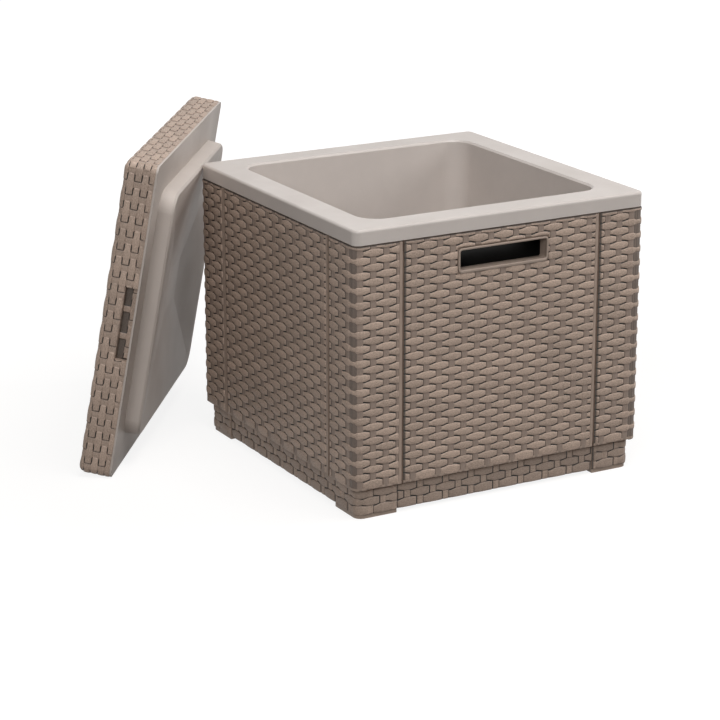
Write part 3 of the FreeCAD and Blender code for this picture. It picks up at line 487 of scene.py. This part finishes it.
def strand_grain():
    """Fine moulded streaks that run along a strand, and small light and dark specks on it, half of
    each. Along and Across are in millimetres."""
    group, given, result = new_group("strand_grain", {"Along": 0.0, "Across": 0.0},
                                     ("Shade", "Height"))
    along, across = given.outputs["Along"], given.outputs["Across"]
    streak_place = add_node(group, "CombineXYZ", {"X": arithmetic(group, "MULTIPLY", along, 0.22),
                                                  "Y": arithmetic(group, "MULTIPLY", across, 1.5)})
    speck_place = add_node(group, "CombineXYZ", {"X": along, "Y": across})
    streaks = add_node(group, "TexNoise", {"Vector": streak_place.outputs["Vector"], "Scale": 1.0,
                                           "Detail": 2.0, "Roughness": 0.6})
    specks = add_node(group, "TexNoise", {"Vector": speck_place.outputs["Vector"], "Scale": 0.55,
                                          "Detail": 3.0, "Roughness": 0.75})
    both = arithmetic(group, "ADD", arithmetic(group, "MULTIPLY", streaks.outputs["Fac"], 0.5),
                      arithmetic(group, "MULTIPLY", specks.outputs["Fac"], 0.5))
    spread = add_node(group, "MapRange", {"Value": both, "From Min": 0.41, "From Max": 0.59})
    group.links.new(spread.outputs["Result"], result.inputs["Shade"])
    group.links.new(both, result.inputs["Height"])
    return group


def read_mark(tree, name):
    """The value of one of the mesh's own attributes."""
    return add_node(tree, "Attribute", attribute_name=name).outputs["Fac"]


def weave_material():
    """Matt resin wicker. Each strand has its own tone, mixed from a random and a grain part. Stakes
    have a darker colour by the upright mark, which is painted shade, and slits and hollows are
    painted near black by the shade mark, which is painted shade too. The grain runs along the
    strands, and up the stakes where the upright mark is over a half."""
    tone_part, grain_part = 0.35, 0.65
    strand_contrast, stake_contrast = 0.36, 0.15
    material, shader = new_material("woven_resin", strand_colour, 0.55)
    tree = material.node_tree
    upright = read_mark(tree, "upright")
    along, height = read_mark(tree, "along"), read_mark(tree, "height")
    turn = arithmetic(tree, "GREATER_THAN", upright, 0.5)
    turned = [add_node(tree, "Mix", {"Factor": turn, "A": first, "B": second}).outputs["Result"]
              for first, second in ((along, height), (height, along))]
    grain = add_node(tree, "Group", {"Along": turned[0], "Across": turned[1]},
                     node_tree=strand_grain())
    random_tone = add_node(tree, "TexWhiteNoise", {"W": read_mark(tree, "tone")},
                           noise_dimensions="1D")
    share = arithmetic(tree, "MULTIPLY_ADD", random_tone.outputs["Value"], tone_part,
                       arithmetic(tree, "MULTIPLY", grain.outputs["Shade"], grain_part))
    strands = mixed_colour(tree, share, *shades(strand_colour, strand_contrast))
    # Stakes take a darker colour as painted shade, since they lie lower than the strands.
    shaded_stakes = mixed_colour(tree, share, *shades(stake_shade_colour, stake_contrast))
    solid = mixed_colour(tree, upright, strands, shaded_stakes)
    # Painted shade: slits, hollows, valleys and notch windows are mixed towards the near-black valley
    # colour.
    colour = mixed_colour(tree, read_mark(tree, "hollow"), solid, valley_shade_colour)
    tree.links.new(colour, shader.inputs["Base Color"])
    rough = add_node(tree, "MapRange", {"Value": grain.outputs["Shade"], "To Min": 0.62,
                                        "To Max": 0.48})
    tree.links.new(rough.outputs["Result"], shader.inputs["Roughness"])
    bump = add_node(tree, "Bump", {"Strength": 0.8, "Distance": 0.0004,
                                   "Height": grain.outputs["Height"]})
    tree.links.new(bump.outputs["Normal"], shader.inputs["Normal"])
    return material


skin_grain = 0.0012


def moulded_skin():
    """The faint cloudiness and the fine spark-eroded texture of a plain moulded surface. The size of
    a grain is in metres, and the noise's scale is 1 divided by it."""
    group, given, result = new_group("moulded_skin", {"Grain Size": skin_grain},
                                     ("Cloud", "Height"))
    place = add_node(group, "TexCoord").outputs["Object"]
    cloud = add_node(group, "TexNoise", {"Vector": place, "Scale": 14.0, "Detail": 3.0,
                                         "Roughness": 0.6})
    fineness = arithmetic(group, "DIVIDE", 1.0, given.outputs["Grain Size"])
    grain = add_node(group, "TexNoise", {"Vector": place, "Scale": fineness, "Detail": 1.0,
                                         "Roughness": 0.5})
    group.links.new(cloud.outputs["Fac"], result.inputs["Cloud"])
    group.links.new(grain.outputs["Fac"], result.inputs["Height"])
    return group


skin_group = moulded_skin()


def plain_resin(name, colour, roughness, contrast, grain=skin_grain):
    """A smooth moulded plastic, with tone and gloss that drift a little over the surface."""
    gloss_drift = 0.05
    skin_depth = 0.00006
    material, shader = new_material(name, colour, roughness)
    tree = material.node_tree
    skin = add_node(tree, "Group", {"Grain Size": grain}, node_tree=skin_group)
    spread = add_node(tree, "MapRange", {"Value": skin.outputs["Cloud"], "From Min": 0.35,
                                         "From Max": 0.65})
    tree.links.new(mixed_colour(tree, spread.outputs["Result"], *shades(colour, contrast)),
                   shader.inputs["Base Color"])
    rough = add_node(tree, "MapRange", {"Value": spread.outputs["Result"],
                                        "To Min": roughness + gloss_drift,
                                        "To Max": roughness - gloss_drift})
    tree.links.new(rough.outputs["Result"], shader.inputs["Roughness"])
    bump = add_node(tree, "Bump", {"Strength": 0.6, "Distance": skin_depth,
                                   "Height": skin.outputs["Height"]})
    tree.links.new(bump.outputs["Normal"], shader.inputs["Normal"])
    return material


def dress_node(name, material):
    """Gives a carried-over solid its finished material in every slot."""
    for slot in frame["nodes"][name].material_slots:
        slot.material = material


woven_resin = weave_material()
wicker_plain = plain_resin("wicker_plain", plain_colour, 0.5, contrast=0.10)
row_edges = np.append(wall_bottom + row_pitch * np.arange(wall_rows + 1), wall_top)
quarter_way = 2 * (wall_half - wall_corner) + wall_corner * math.pi / 2
panel_numbers = np.arange(-8, 9)
panel_tones = 11
on_the_wall = upright_face(wall_half, wall_corner, weave_inset)


def fit_to_wall(grids):
    """Ends a wall's weave at its edges. Below the lowest row's middle, heights are stretched in one
    ratio so that the strands reach the wall's foot, and the top millimetre fades into painted shade,
    the dark of the gap under the tub's rim."""
    height = grids["height"]
    middle = wall_bottom + row_pitch / 2
    ratio = (middle - wall_foot) / (middle - wall_bottom)
    grids["height"] = np.where(height < middle, middle - (middle - height) * ratio, height)
    # Painted shade under the tub's rim.
    shade = eaves_shade * smooth_step(height, wall_top - eaves_from, wall_top - eaves_to)
    grids["hollow"] = np.maximum(grids["hollow"], shade)


def woven_panel(side, face, with_handhold):
    """The wicker face of a panel, seated on the panel's skin."""
    hole_width, hole_height = hand_hole
    extra = (-hole_width, hole_width) if with_handhold else ()
    stakes = stake_pitch * panel_numbers
    lines = weave_lines(-panel_edge, panel_edge - rail_width, stakes, extra)
    grids = weave(lines, stakes, np.abs(panel_numbers) % 2, row_edges)
    keep = np.ones((len(grids["height"]) - 1, len(lines) - 1), bool)
    rows, columns = (), ()
    if with_handhold:
        rows = nearest_index(grids["height"][:, len(lines) // 2],
                             (hand_middle - hole_height, hand_middle + hole_height))
        columns = nearest_index(lines, (-hole_width, hole_width))
        keep[rows[0]:rows[1], columns[0]:columns[1]] = False
    fit_to_wall(grids)
    shift_marks(grids, face * quarter_way, face * panel_tones)
    piece = woven_sheet("woven_panel_" + side, grids, on_the_wall, keep, rows, columns)
    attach(piece, "box")
    dress_node("panel_" + side, wicker_plain)


for face, side in enumerate(("front", "right", "back", "left")):
    woven_panel(side, face, side in ("front", "back"))


# The corner posts are the same wicker bent round the four upright corners. One moulding serves all
# four: its long strands wrap the corner, and its plain rail is on the right. Screws from below hold
# it to the base tray.
seam_gap = 3.0
arc_half = wall_corner * math.pi / 4
post_end = wall_half - wall_corner - panel_edge - seam_gap + arc_half
# How far the first stake stands in from each side, and the stretch with the bundle of thin stakes.
rail_side_first = 3.9
plain_side_first = 11.1
post_bundle = (-12.7, 1.7)
post_tones, post_tone_step = 500, 13
rail_side_stakes = post_end - rail_side_first - stake_pitch * np.arange(4)
plain_side_stakes = -post_end + plain_side_first + stake_pitch * np.arange(-1, 3)
post_stakes = np.sort(np.concatenate([plain_side_stakes, rail_side_stakes]))
post_over = np.array([0, 1, 0, 1, 1, 0, 1, 0])
arc_lines = arc_half * np.linspace(-1, 1, 7)
post_lines = weave_lines(-post_end, post_end - rail_width, post_stakes, arc_lines)
post_bends = nearest_index(post_lines, arc_lines)
for corner, side in enumerate(("front_left", "front_right", "back_right", "back_left")):
    grids = weave(post_lines, post_stakes, post_over, row_edges, bend=post_bundle)
    fit_to_wall(grids)
    shift_marks(grids, (corner - 0.5) * quarter_way, post_tones + corner * post_tone_step)
    piece = woven_sheet("woven_post_" + side, grids, on_the_wall, column_breaks=post_bends)
    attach(piece, "box")
    dress_node("corner_post_" + side, wicker_plain)


# The base tray is one moulding in the same resin: a set-back plinth with three rows of weave on each
# side, and a foot at each corner that stands a little proud and reaches the floor.
plinth_half = 201.0
foot_half = 202.5
foot_length = 56.0
foot_arc = 10.5
plinth_pitch = 18.67
plinth_edges = np.array([5.0, 16.8, 27.0, 36.6])
plinth_numbers = np.arange(-8, 9)
plinth_shares = (0.27, 0.40)
plinth_slit = 0.10
# How much of the stakes' painted shade the plinth's strands and stakes take; the strands, deeper under
# the overhang, take more.
plinth_strand_mark, plinth_stake_mark = 0.48, 0.15
plinth_tones, plinth_tone_step = 900, 17
foot_tones, foot_tone_step = 1300, 19
foot_way = foot_length - foot_arc + foot_arc * math.pi / 4
foot_stakes = np.array([-51.25, -34.25, -15.75, 0.0, 15.75, 34.25, 51.25])
foot_over = np.array([1, 0, 1, 0, 1, 0, 1])
foot_bends = foot_arc * math.pi / 4 * np.linspace(-1, 1, 7)


def woven_strip(name, lines, stakes, over, place, way, tone, bends=()):
    """Three rows of weave on the base tray. Its strands, set deep under the wall's overhang, get
    painted shade from the upright mark, which is higher on them than on the stakes, so the stakes look
    lighter."""
    grids = weave(lines, stakes, over, plinth_edges, end_shares=plinth_shares, slit=plinth_slit)
    grids["upright"] = np.where(grids["upright"] > 0.5, plinth_stake_mark, plinth_strand_mark)
    shift_marks(grids, way, tone)
    piece = woven_sheet(name, grids, place, column_breaks=nearest_index(lines, bends))
    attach(piece, "box")


plinth_end = foot_half - foot_length
plinth_stakes = plinth_pitch * plinth_numbers
plinth_over = 1 - np.abs(plinth_numbers) % 2
plinth_lines = weave_lines(-plinth_end, plinth_end, plinth_stakes)
foot_lines = weave_lines(-foot_way, foot_way, foot_stakes, foot_bends)
plinth_quarter = 2 * (plinth_half - wall_corner) + wall_corner * math.pi / 2
foot_quarter = 2 * (foot_half - foot_arc) + foot_arc * math.pi / 2
for face, side in enumerate(("front", "right", "back", "left")):
    woven_strip("woven_plinth_" + side, plinth_lines, plinth_stakes, plinth_over,
                upright_face(plinth_half, wall_corner), face * plinth_quarter,
                plinth_tones + face * plinth_tone_step)
    woven_strip("woven_foot_%d" % (face + 1), foot_lines, foot_stakes, foot_over,
                upright_face(foot_half, foot_arc), (face - 0.5) * foot_quarter,
                foot_tones + face * foot_tone_step, foot_bends)
dress_node("base_tray", wicker_plain)


# The tub is one large smooth moulding in a lighter resin. Its broad rim rests on the walls and turns
# down over them, and its inside tapers to a floor with a drain. The outside of the tub, hidden
# between the walls, is painted near black as painted shade, which is all that shows through a
# handhold.
rim_colour = (0.620, 0.560, 0.520)
cavity_shade_colour = (0.012, 0.011, 0.010)
# The painted shade's limits are in metres, as the shader reads them.
cavity_shade_below = 0.345
cavity_shade_within = 0.205
cavity_shade_facing = 0.05


def tub_with_cavity_shade():
    """The rim's resin, with near-black painted shade on faces below the rim and inside the walls that
    look outward, where x and y times the normal's x and y, added up, are over the set facing limit."""
    material = plain_resin("rim_resin", rim_colour, 0.42, contrast=0.03)
    tree = material.node_tree
    shader = tree.nodes["Principled BSDF"]
    geometry = add_node(tree, "TexCoord").outputs
    place = add_node(tree, "SeparateXYZ", {"Vector": geometry["Object"]}).outputs
    level = add_node(tree, "VectorMath", {0: geometry["Object"], 1: (1, 1, 0)}, operation="MULTIPLY")
    outward = add_node(tree, "VectorMath", {0: level.outputs["Vector"], 1: geometry["Normal"]},
                       operation="DOT_PRODUCT").outputs["Value"]
    reach = arithmetic(tree, "MAXIMUM", arithmetic(tree, "ABSOLUTE", place["X"]),
                       arithmetic(tree, "ABSOLUTE", place["Y"]))
    # Painted shade: outward faces of the tub's hidden outside turn near black, so a handhold shows a
    # dark cavity.
    cavity_shade = arithmetic(tree, "MULTIPLY", arithmetic(tree, "GREATER_THAN", outward, cavity_shade_facing),
                      arithmetic(tree, "LESS_THAN", place["Z"], cavity_shade_below))
    cavity_shade = arithmetic(tree, "MULTIPLY", cavity_shade, arithmetic(tree, "LESS_THAN", reach, cavity_shade_within))
    plain = shader.inputs["Base Color"].links[0].from_socket
    tree.links.new(mixed_colour(tree, cavity_shade, plain, cavity_shade_colour), shader.inputs["Base Color"])
    return material


dress_node("tub", tub_with_cavity_shade())


# Each handhold has a smooth frame in the wicker's colour that is pushed in from outside. A rounded
# bead runs round it and covers the cut ends of the weave.
frame_opening = (63.0, 12.75)
frame_corner = 3.0
bead_width = 2.5
bead_proud = 1.7
bead_below = 0.45
bead_round = 1.0
bead_cover = 0.15
frame_resin = plain_resin("frame_resin", (0.350, 0.272, 0.222), 0.42, contrast=0.04)


def rounded_bead(name, face):
    """A bead carried round the opening: a flat-backed section with quarter rounds at both edges.

    The section is a distance out from the opening's edge and a depth out of the wall, and it laps
    over the frame's own bead by bead_cover. The path is a rounded rectangle, whose corners take the
    section's distance as added radius. The lower side is wider by a share of the sine of the path's
    angle. Face 2 is the back, where x and y change sign."""
    edge_points, corner_points = 6, 7
    turn = np.linspace(0, math.pi / 2, edge_points)
    near = np.stack([-bead_cover + bead_round - bead_round * np.cos(turn),
                     bead_proud + bead_cover - bead_round + bead_round * np.sin(turn)], -1)
    far = near[::-1] * (-1, 1) + (bead_width, 0)
    back = np.array([[bead_width + bead_cover, -weave_inset - bead_cover],
                     [-bead_cover, -weave_inset - bead_cover]])
    section = np.concatenate([near, far, back])
    angles = np.concatenate([np.linspace(start, start + 90, corner_points)
                             for start in (0, 90, 180, 270)])
    angles = np.radians(angles)
    signs = np.repeat(np.array([(1, 1), (-1, 1), (-1, -1), (1, -1)]), corner_points, 0)
    centres = signs * (np.array(frame_opening) - frame_corner)
    x = centres[:, :1] + (frame_corner + section[:, 0]) * np.cos(angles)[:, None]
    wider = 1 + bead_below * np.maximum(-np.sin(angles), 0)[:, None]
    z = hand_middle + centres[:, 1:] + (frame_corner + section[:, 0] * wider) * np.sin(angles)[:, None]
    y = np.zeros_like(x) - wall_half - section[:, 1]
    if face == 2:
        x, y = -x, -y
    steps, sides = x.shape
    index = np.arange(steps * sides).reshape(steps, sides)
    after, beside = np.roll(index, -1, 0), np.roll(index, -1, 1)
    across = np.roll(after, -1, 1)
    quads = np.stack([index, beside, across, after], -1).reshape(-1, 4)
    mesh = bpy.data.meshes.new(name)
    mesh.from_pydata(np.stack([x, y, z], -1).reshape(-1, 3) * mm, [], quads.tolist())
    mesh.polygons.foreach_set("use_smooth", np.ones(len(quads), bool))
    mesh.materials.append(frame_resin)
    piece = bpy.data.objects.new(name, mesh)
    bpy.context.scene.collection.objects.link(piece)
    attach(piece, "box")


for face, side in ((0, "front"), (2, "back")):
    rounded_bead("handhold_bead_" + side, face)
    dress_node("handle_frame_" + side, frame_resin)


# The lid's shell is wicker again: five rows of weave run round its edge and over its round, and the
# top is woven from side to side. Two opposite edges have a finger notch, woven at its back as well.
lid_half = 210.0
lid_top = 42.0
lid_round = 7.0
# The strands are nearly as wide at their ends as over a stake, and the stakes take only a little of
# the painted shade that darkens the stakes on the walls.
lid_shares = (0.405, 0.410)
lid_upright_mark = 0.2
ring_start = 5.5
ring_edges = np.array([-2.9, 3.9, 13.2, 22.5, 31.7, 41.0])
notch_half = 49.0
notch_depth = 9.0
notch_rows = 2
# How much painted shade the notch's windows get.
notch_edges = np.array([2.7, 9.4, 18.4])
window_shade = 0.8
top_half = 201.4
top_rows = 43
top_tones, notch_tones = 2100, 2700
side_height = lid_top - lid_round - ring_start
# The lid's place comes from the mount on its top face, at mount_place in the lid's own frame.
top_mount = next(item for item in frame["record"]["mounts"] if item["name"] == "table_top")
mount_place = np.array([30.0, 20.0])
lid_z = np.array(top_mount["axis"], float)
lid_z = lid_z / np.linalg.norm(lid_z)
lid_x = np.cross((0, 0, 1), lid_z)
lid_x = -lid_x / np.linalg.norm(lid_x)
lid_y = np.cross(lid_z, lid_x)
lid_middle = (np.array(top_mount["pos_m"]) / mm - lid_x * mount_place[0] - lid_y * mount_place[1]
              - lid_z * lid_top)


def from_lid(x, y, z):
    """A point given in the lid's own frame, where the lid leans at rest, held above the floor."""
    points = lid_middle + x[..., None] * lid_x + y[..., None] * lid_y + z[..., None] * lid_z
    points[..., 2] = np.maximum(points[..., 2], 0)
    return points


def round_the_lid(way, height, relief):
    """A point of the lid's edge: height runs up the side, over the round and onto the top."""
    angle = np.clip((height - side_height) / lid_round, 0, math.pi / 2)
    past = np.maximum(height - side_height - lid_round * math.pi / 2, 0)
    out = -weave_inset - lid_round + (lid_round + relief) * np.cos(angle) - past
    z = ring_start + np.minimum(height, side_height) + (lid_round + relief) * np.sin(angle)
    x, y = round_the_box(way, out, lid_half, wall_corner)
    return from_lid(x, y, z)


def over_the_lid(across, height, relief):
    """A point of the lid's flat top."""
    return from_lid(across, height, lid_top + relief)


def in_the_notch(way, height, relief):
    """A point of the weave at the back of a finger notch."""
    x, y = round_the_box(way, relief - notch_depth, lid_half, wall_corner)
    return from_lid(x, y, height)


ring_numbers = np.arange(-11, 12)
ring_sides = np.arange(-2, 3)
ring_stakes = (ring_sides[:, None] * quarter_way + ring_numbers[None, :] * stake_pitch).ravel()
ring_over = ((ring_sides[:, None] + ring_numbers[None, :]) % 2).ravel()
corner_middles = (np.arange(-2, 2) + 0.5) * quarter_way
ring_bends = (corner_middles[:, None] + arc_lines[None, :]).ravel()
notch_ends = np.array([side * quarter_way + end
                       for side in (-1, 1) for end in (-notch_half, notch_half)])
ring_stops = np.concatenate([ring_bends, notch_ends])
ring_lines = weave_lines(-2 * quarter_way, 2 * quarter_way, ring_stakes, ring_stops,
                         -about_stake[::-1], ends=(0.0,))
grids = weave(ring_lines, ring_stakes, ring_over, ring_edges, fade=False, end_shares=lid_shares,
              way=-1)
grids["upright"] *= lid_upright_mark
lines_in_row = len(strand_shares) + len(valley_shares)
keep = np.ones((len(grids["height"]) - 1, len(ring_lines) - 1), bool)
notch_columns = nearest_index(ring_lines, notch_ends)
for left, right in (notch_columns[:2], notch_columns[2:]):
    keep[:lines_in_row * notch_rows, left:right] = False
last_flat = int((grids["height"][:, 0] < side_height).sum()) - 1
over_rows = [lines_in_row * notch_rows, *range(last_flat, len(grids["height"]))]
piece = woven_sheet("woven_lid_edge", grids, round_the_lid, keep, over_rows,
                    nearest_index(ring_lines, ring_stops), loop=True)
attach(piece, "lid")

coarse_about = np.array([-5.2, -4.9, -4.2, -3.9, 0.0, 3.9, 4.1, 6.0])
coarse_shares = np.array([-1.0, -0.6, 0.0, 0.6, 1.0])
top_stakes = stake_pitch * ring_numbers
top_lines = weave_lines(-top_half, top_half, top_stakes, about=coarse_about)
grids = weave(top_lines, top_stakes, np.abs(ring_numbers) % 2,
              np.linspace(-top_half, top_half, top_rows + 1), coarse_shares, np.array([0.5]),
              end_shares=lid_shares)
shift_marks(grids, 0, top_tones)
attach(woven_sheet("woven_lid_top", grids, over_the_lid), "lid")

# At the back of a notch the strands of the upper row are left out, and the windows in their place
# are sunk to the hollow floor and darkened with painted shade.
notch_numbers = np.arange(-3, 4)
for side, name in ((-1, "near"), (1, "far")):
    stakes = side * quarter_way + notch_numbers * stake_pitch
    lines = weave_lines(side * quarter_way - notch_half, side * quarter_way + notch_half, stakes,
                        about=-about_stake[::-1])
    grids = weave(lines, stakes, 1 - notch_numbers % 2, notch_edges, end_shares=lid_shares, way=-1)
    windows = grids["upright"] < 0.5
    windows[:lines_in_row] = False
    grids["relief"][windows] = hollow_floor
    grids["hollow"][windows] = window_shade
    grids["upright"] *= lid_upright_mark
    shift_marks(grids, 0, notch_tones + side)
    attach(woven_sheet("woven_notch_" + name, grids, in_the_notch), "lid")
dress_node("lid_shell", wicker_plain)


# The lid's liner is one pale grey vacuum-formed sheet that snaps into the shell, with a flat flange,
# a plug that drops into the tub and a shallow dished underside.
liner_colour = (0.575, 0.510, 0.465)
liner_resin = plain_resin("liner_resin", liner_colour, 0.50, contrast=0.025)
liner_resin.node_tree.nodes["Principled BSDF"].inputs["Specular IOR Level"].default_value = 0.2
dress_node("lid_liner", liner_resin)


# The drain stopper is soft dark rubber with a flat seal under its head, pushed into the spout.
rubber = plain_resin("soft_rubber", (0.030, 0.030, 0.031), 0.62, contrast=0.15, grain=0.0006)
dress_node("drain_stopper", rubber)
dress_node("stopper_seal", rubber)


# Four plated steel screws with hexagon heads hold the base tray to the posts from below.
steel, steel_shader = new_material("screw_steel", (0.55, 0.55, 0.53), 0.35)
steel_shader.inputs["Metallic"].default_value = 1.0
steel_tree = steel.node_tree
brushed = add_node(steel_tree, "Group", {"Grain Size": 0.0008}, node_tree=skin_group)
steel_rough = add_node(steel_tree, "MapRange", {"Value": brushed.outputs["Height"], "To Min": 0.25,
                                                "To Max": 0.50})
steel_tree.links.new(steel_rough.outputs["Result"], steel_shader.inputs["Roughness"])
dress_node("base_screws", steel)
